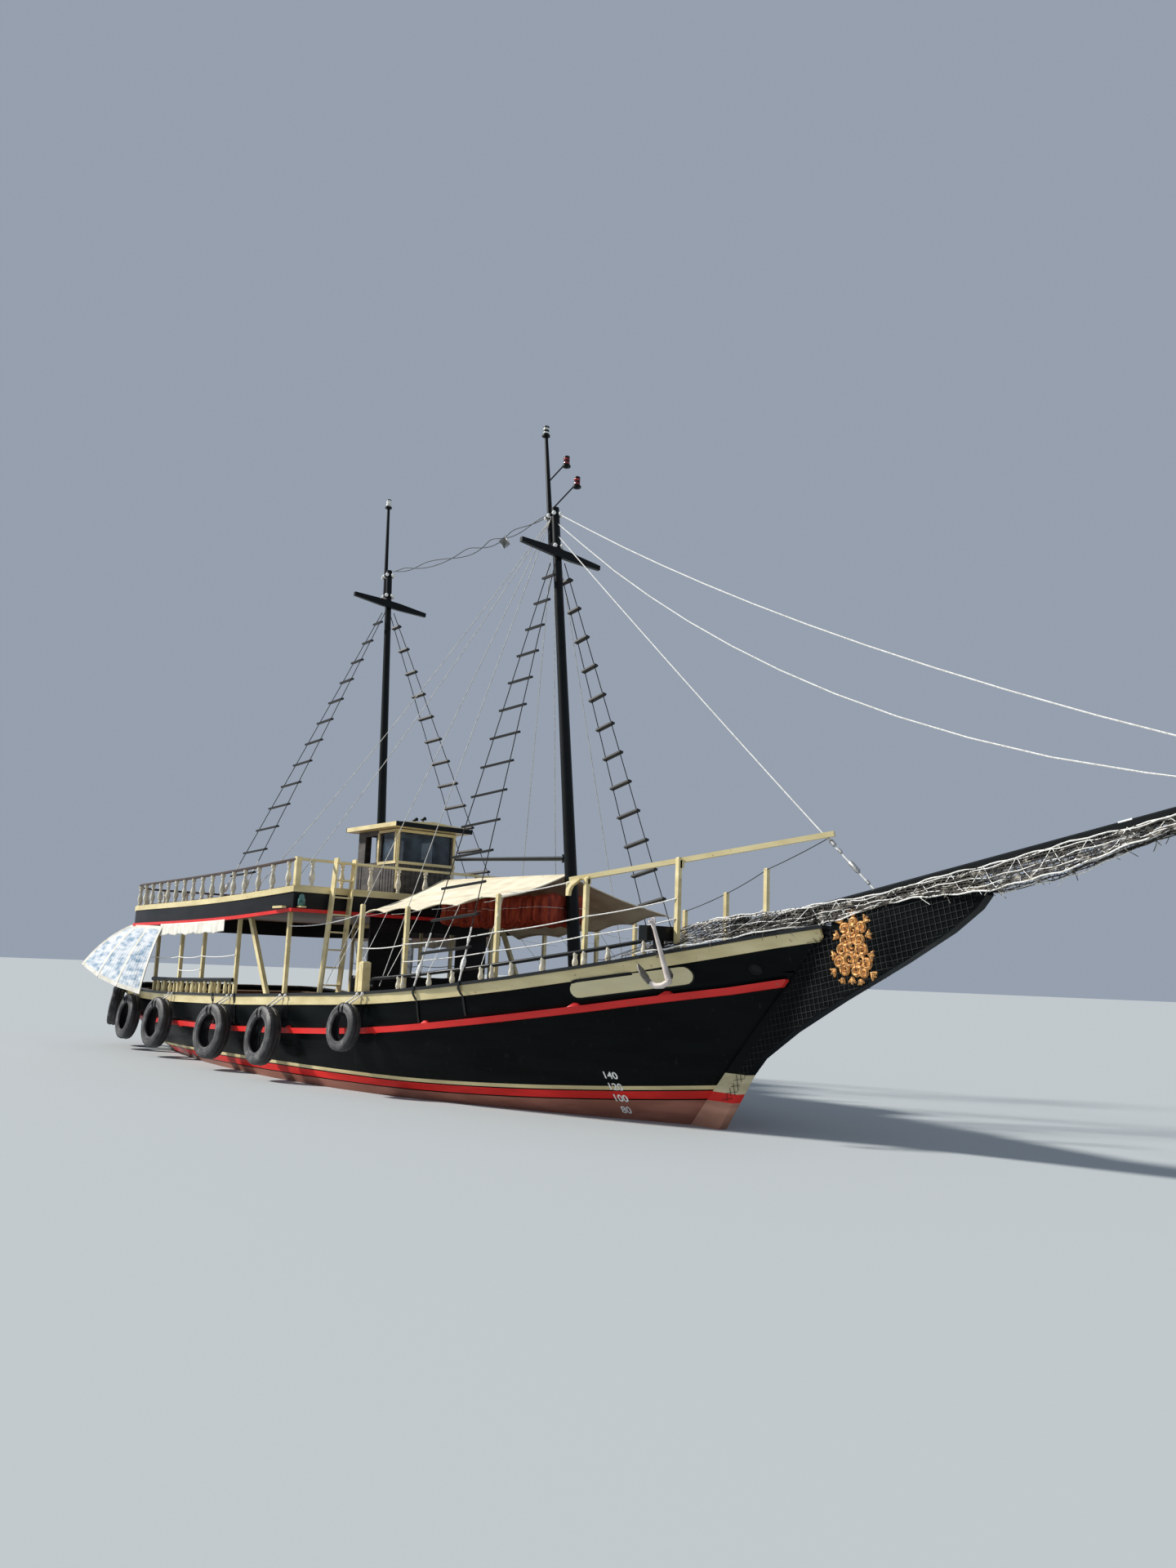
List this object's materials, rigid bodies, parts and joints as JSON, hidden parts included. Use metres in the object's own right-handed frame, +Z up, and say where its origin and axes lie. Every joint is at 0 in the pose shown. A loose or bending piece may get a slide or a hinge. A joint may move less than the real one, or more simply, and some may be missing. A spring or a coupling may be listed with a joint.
{
  "type": "two-masted wooden motor launch",
  "caption": "Wooden two-masted excursion launch with a decked hull, an upper deck with its wheelhouse, a foredeck canopy, a long bowsprit and tyre fenders.",
  "frame": {"origin": "amidships on the centreline at the waterline, on the mount called waterline", "axes": "+X forward to the bowsprit, +Y to port, +Z up"},
  "size_m": [33.29, 9.4, 17.585],
  "materials": {
    "hull_black": "gloss black enamel on planking",
    "trim_cream": "cream enamel on timber",
    "rail_red": "red enamel on timber",
    "spar_black": "black enamel on round and square spars",
    "deck_wood": "oiled deck planks",
    "board_black": "black enamel on boards",
    "canvas": "off-white canvas",
    "vest_orange": "orange red nylon",
    "clear_vinyl": "clear ribbed sheet with cream canvas borders",
    "rope_white": "white laid rope",
    "rope_dark": "tarred dark rope and black wooden rungs",
    "tyre_rubber": "worn black tyre rubber",
    "galvanised": "pale painted iron",
    "bronze": "cast bronze",
    "engine_grey": "grey machinery enamel",
    "window_glass": "clear window glass"
  },
  "bodies": {
    "root": {"hull": "hull_black", "keel": "hull_black", "cutwater": "hull_black", "main_deck": "deck_wood", "bulwark_starboard": "hull_black", "bulwark_port": "hull_black", "cap_rail_starboard": "spar_black", "cap_rail_port": "spar_black", "sheer_band": "trim_cream", "rub_rail": "rail_red", "bowsprit": "spar_black", "upper_deck": "deck_wood", "deck_edge_band": "trim_cream", "deck_edge_rub": "rail_red", "fascia_starboard": "board_black", "fascia_port": "board_black", "upper_rail_starboard": "trim_cream", "upper_rail_port": "trim_cream", "deck_posts_starboard": "trim_cream", "deck_posts_port": "trim_cream", "hand_rail_starboard": "spar_black", "hand_rail_port": "spar_black", "stanchions_starboard": "trim_cream", "stanchions_port": "trim_cream", "ladder": "trim_cream", "main_mast": "spar_black", "aft_mast": "spar_black", "main_yard": "spar_black", "aft_yard": "spar_black", "ratlines_main_starboard": "rope_dark", "ratlines_main_port": "rope_dark", "ratlines_aft_starboard": "rope_dark", "ratlines_aft_port": "rope_dark", "forestay_inner": "rope_white", "forestay_middle": "rope_white", "forestay_outer": "rope_white", "wheelhouse": "board_black", "wheelhouse_roof": "trim_cream", "wheelhouse_glass": "window_glass", "helm_stand": "board_black", "canopy": "canvas", "life_jackets": "vest_orange", "stern_curtain_starboard": "clear_vinyl", "stern_curtain_port": "clear_vinyl", "tyre_fenders_starboard": "tyre_rubber", "tyre_fenders_port": "tyre_rubber", "cathead": "spar_black", "anchor": "galvanised", "bow_net_starboard": "rope_dark", "bow_net_port": "rope_dark", "engine": "engine_grey", "stern_bench": "deck_wood", "bar_counter": "board_black"},
    "propeller": {"propeller": "bronze"},
    "rudder": {"rudder": "hull_black"},
    "helm": {"helm_wheel": "deck_wood"},
    "door_starboard": {"wheelhouse_door_starboard": "trim_cream"},
    "door_port": {"wheelhouse_door_port": "trim_cream"},
    "boom": {"boom": "spar_black"}
  },
  "joints": [
    {"name": "propeller_spin", "type": "hinge", "parent": "root", "child": "propeller", "pos_m": [-9.85, 0, -0.85], "axis": [1, 0, 0], "continuous": true},
    {"name": "rudder_turn", "type": "hinge", "parent": "root", "child": "rudder", "pos_m": [-10.45, 0, -0.85], "axis": [0, 0, 1], "range_deg": [-35, 35]},
    {"name": "helm_turn", "type": "hinge", "parent": "root", "child": "helm", "pos_m": [-1.78, 0, 5.26], "axis": [1, 0, 0], "range_deg": [-350, 350]},
    {"name": "door_starboard_hinge", "type": "hinge", "parent": "root", "child": "door_starboard", "pos_m": [-2.0005, -0.86, 5.27], "axis": [0, 0, 1], "range_deg": [0, 100]},
    {"name": "door_port_hinge", "type": "hinge", "parent": "root", "child": "door_port", "pos_m": [-2.0005, 0.86, 5.27], "axis": [0, 0, 1], "range_deg": [-100, 0]},
    {"name": "boom_swing", "type": "hinge", "parent": "root", "child": "boom", "pos_m": [4.7537, 0, 5.12], "axis": [0, 0, 1], "range_deg": [-40, 40]}
  ]
}
